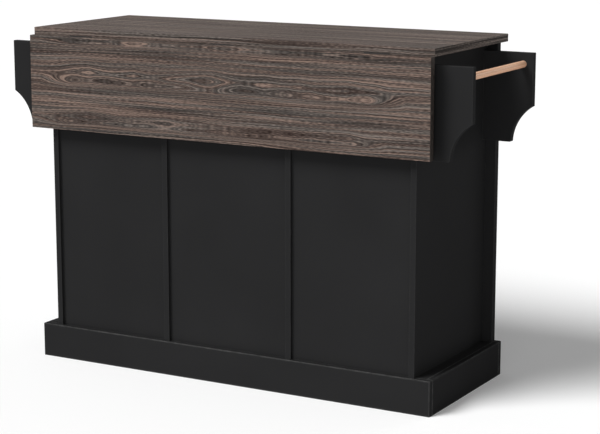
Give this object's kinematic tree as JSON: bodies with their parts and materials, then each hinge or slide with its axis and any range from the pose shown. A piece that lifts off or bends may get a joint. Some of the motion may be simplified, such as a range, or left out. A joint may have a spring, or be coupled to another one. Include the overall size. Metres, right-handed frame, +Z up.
{
  "type": "kitchen island",
  "caption": "Free-standing kitchen island on a closed plinth, with a hinged drop leaf at the back, doors and drawers in front, a towel bar and a spice rack.",
  "frame": {"origin": "centre of the plinth's footprint, on the floor", "axes": "+Z up; doors and drawers face -Y, the drop leaf hangs on the +Y side; +X along the length, towards the spice rack"},
  "size_m": [1.37, 0.4915, 0.914],
  "materials": {
    "painted": "matt black paint over engineered wood",
    "laminate": "dark grey-brown wood grain laminate",
    "beech": "oiled pale wood",
    "hardboard": "black faced hardboard",
    "drawer_lining": "black foil on engineered wood",
    "black_steel": "black coated steel",
    "zinc": "bright zinc plate",
    "raw_wood": "bare softwood"
  },
  "bodies": {
    "carcass": {"worktop": "laminate", "leaf_hinge_top_plates": "black_steel", "stay_wall_brackets": "black_steel", "plinth_front_board": "painted", "plinth_rear_board": "painted", "plinth_left_board": "painted", "plinth_right_board": "painted", "plinth_centre_rail": "raw_wood", "plinth_corner_blocks": "raw_wood", "bottom_panel": "painted", "left_side_panel": "painted", "right_side_panel": "painted", "left_divider": "painted", "right_divider": "painted", "left_back_panel": "hardboard", "centre_back_panel": "hardboard", "right_back_panel": "hardboard", "rear_top_rail": "painted", "front_top_rail": "painted", "left_corner_post": "painted", "right_corner_post": "painted", "left_shelf": "painted", "right_shelf": "painted", "shelf_pins": "zinc", "door_hinge_plates": "black_steel", "drawer_runners": "raw_wood", "towel_rack_rear_bracket": "painted", "towel_rack_front_bracket": "painted", "towel_bar": "beech", "spice_rack_rear_bracket": "painted", "spice_rack_front_bracket": "painted", "spice_shelf": "painted", "spice_rail": "beech"},
    "leaf": {"drop_leaf": "laminate", "leaf_hinge_leaf_plates": "black_steel", "stay_leaf_brackets": "black_steel"},
    "left_upper_link": {"left_stay_upper_link": "black_steel"},
    "left_lower_link": {"left_stay_lower_link": "black_steel"},
    "right_upper_link": {"right_stay_upper_link": "black_steel"},
    "right_lower_link": {"right_stay_lower_link": "black_steel"},
    "left_door": {"left_door_frame": "painted", "left_door_panel": "painted", "left_door_knob": "beech", "left_door_hinge_leaves": "black_steel"},
    "right_door": {"right_door_frame": "painted", "right_door_panel": "painted", "right_door_knob": "beech", "right_door_hinge_leaves": "black_steel"},
    "top_drawer": {"top_drawer_front": "painted", "top_drawer_box": "drawer_lining", "top_drawer_bottom": "hardboard", "top_drawer_knob": "beech"},
    "middle_drawer": {"middle_drawer_front": "painted", "middle_drawer_box": "drawer_lining", "middle_drawer_bottom": "hardboard", "middle_drawer_knob": "beech"},
    "bottom_drawer": {"bottom_drawer_front": "painted", "bottom_drawer_box": "drawer_lining", "bottom_drawer_bottom": "hardboard", "bottom_drawer_knob": "beech"}
  },
  "joints": [
    {"name": "leaf_hinge", "type": "hinge", "parent": "carcass", "child": "leaf", "pos_m": [0, 0.2255, 0.894], "axis": [1, 0, 0], "range_deg": [0, 90]},
    {"name": "left_upper_link_pivot", "type": "hinge", "parent": "leaf", "child": "left_upper_link", "pos_m": [0, 0.2155, 0.774], "axis": [1, 0, 0], "range_deg": [-139.8, 0]},
    {"name": "left_lower_link_pivot", "type": "hinge", "parent": "carcass", "child": "left_lower_link", "pos_m": [0, 0.2155, 0.774], "axis": [1, 0, 0], "range_deg": [0, 130.3]},
    {"name": "right_upper_link_pivot", "type": "hinge", "parent": "leaf", "child": "right_upper_link", "pos_m": [0, 0.2155, 0.774], "axis": [1, 0, 0], "range_deg": [-139.8, 0]},
    {"name": "right_lower_link_pivot", "type": "hinge", "parent": "carcass", "child": "right_lower_link", "pos_m": [0, 0.2155, 0.774], "axis": [1, 0, 0], "range_deg": [0, 130.3]},
    {"name": "left_door_hinge", "type": "hinge", "parent": "carcass", "child": "left_door", "pos_m": [-0.514, -0.2232, 0.478], "axis": [0, 0, -1], "range_deg": [0, 110]},
    {"name": "right_door_hinge", "type": "hinge", "parent": "carcass", "child": "right_door", "pos_m": [0.514, -0.2232, 0.478], "axis": [0, 0, 1], "range_deg": [0, 110]},
    {"name": "top_drawer_slide", "type": "slide", "parent": "carcass", "child": "top_drawer", "axis": [0, -1, 0], "range_m": [0, 0.26]},
    {"name": "middle_drawer_slide", "type": "slide", "parent": "carcass", "child": "middle_drawer", "axis": [0, -1, 0], "range_m": [0, 0.26]},
    {"name": "bottom_drawer_slide", "type": "slide", "parent": "carcass", "child": "bottom_drawer", "axis": [0, -1, 0], "range_m": [0, 0.26]}
  ],
  "couplings": [
    {"joint": "left_upper_link_pivot", "follows": "leaf_hinge", "ratio": -1.5529},
    {"joint": "left_lower_link_pivot", "follows": "leaf_hinge", "ratio": 1.4471},
    {"joint": "right_upper_link_pivot", "follows": "leaf_hinge", "ratio": -1.5529},
    {"joint": "right_lower_link_pivot", "follows": "leaf_hinge", "ratio": 1.4471}
  ]
}
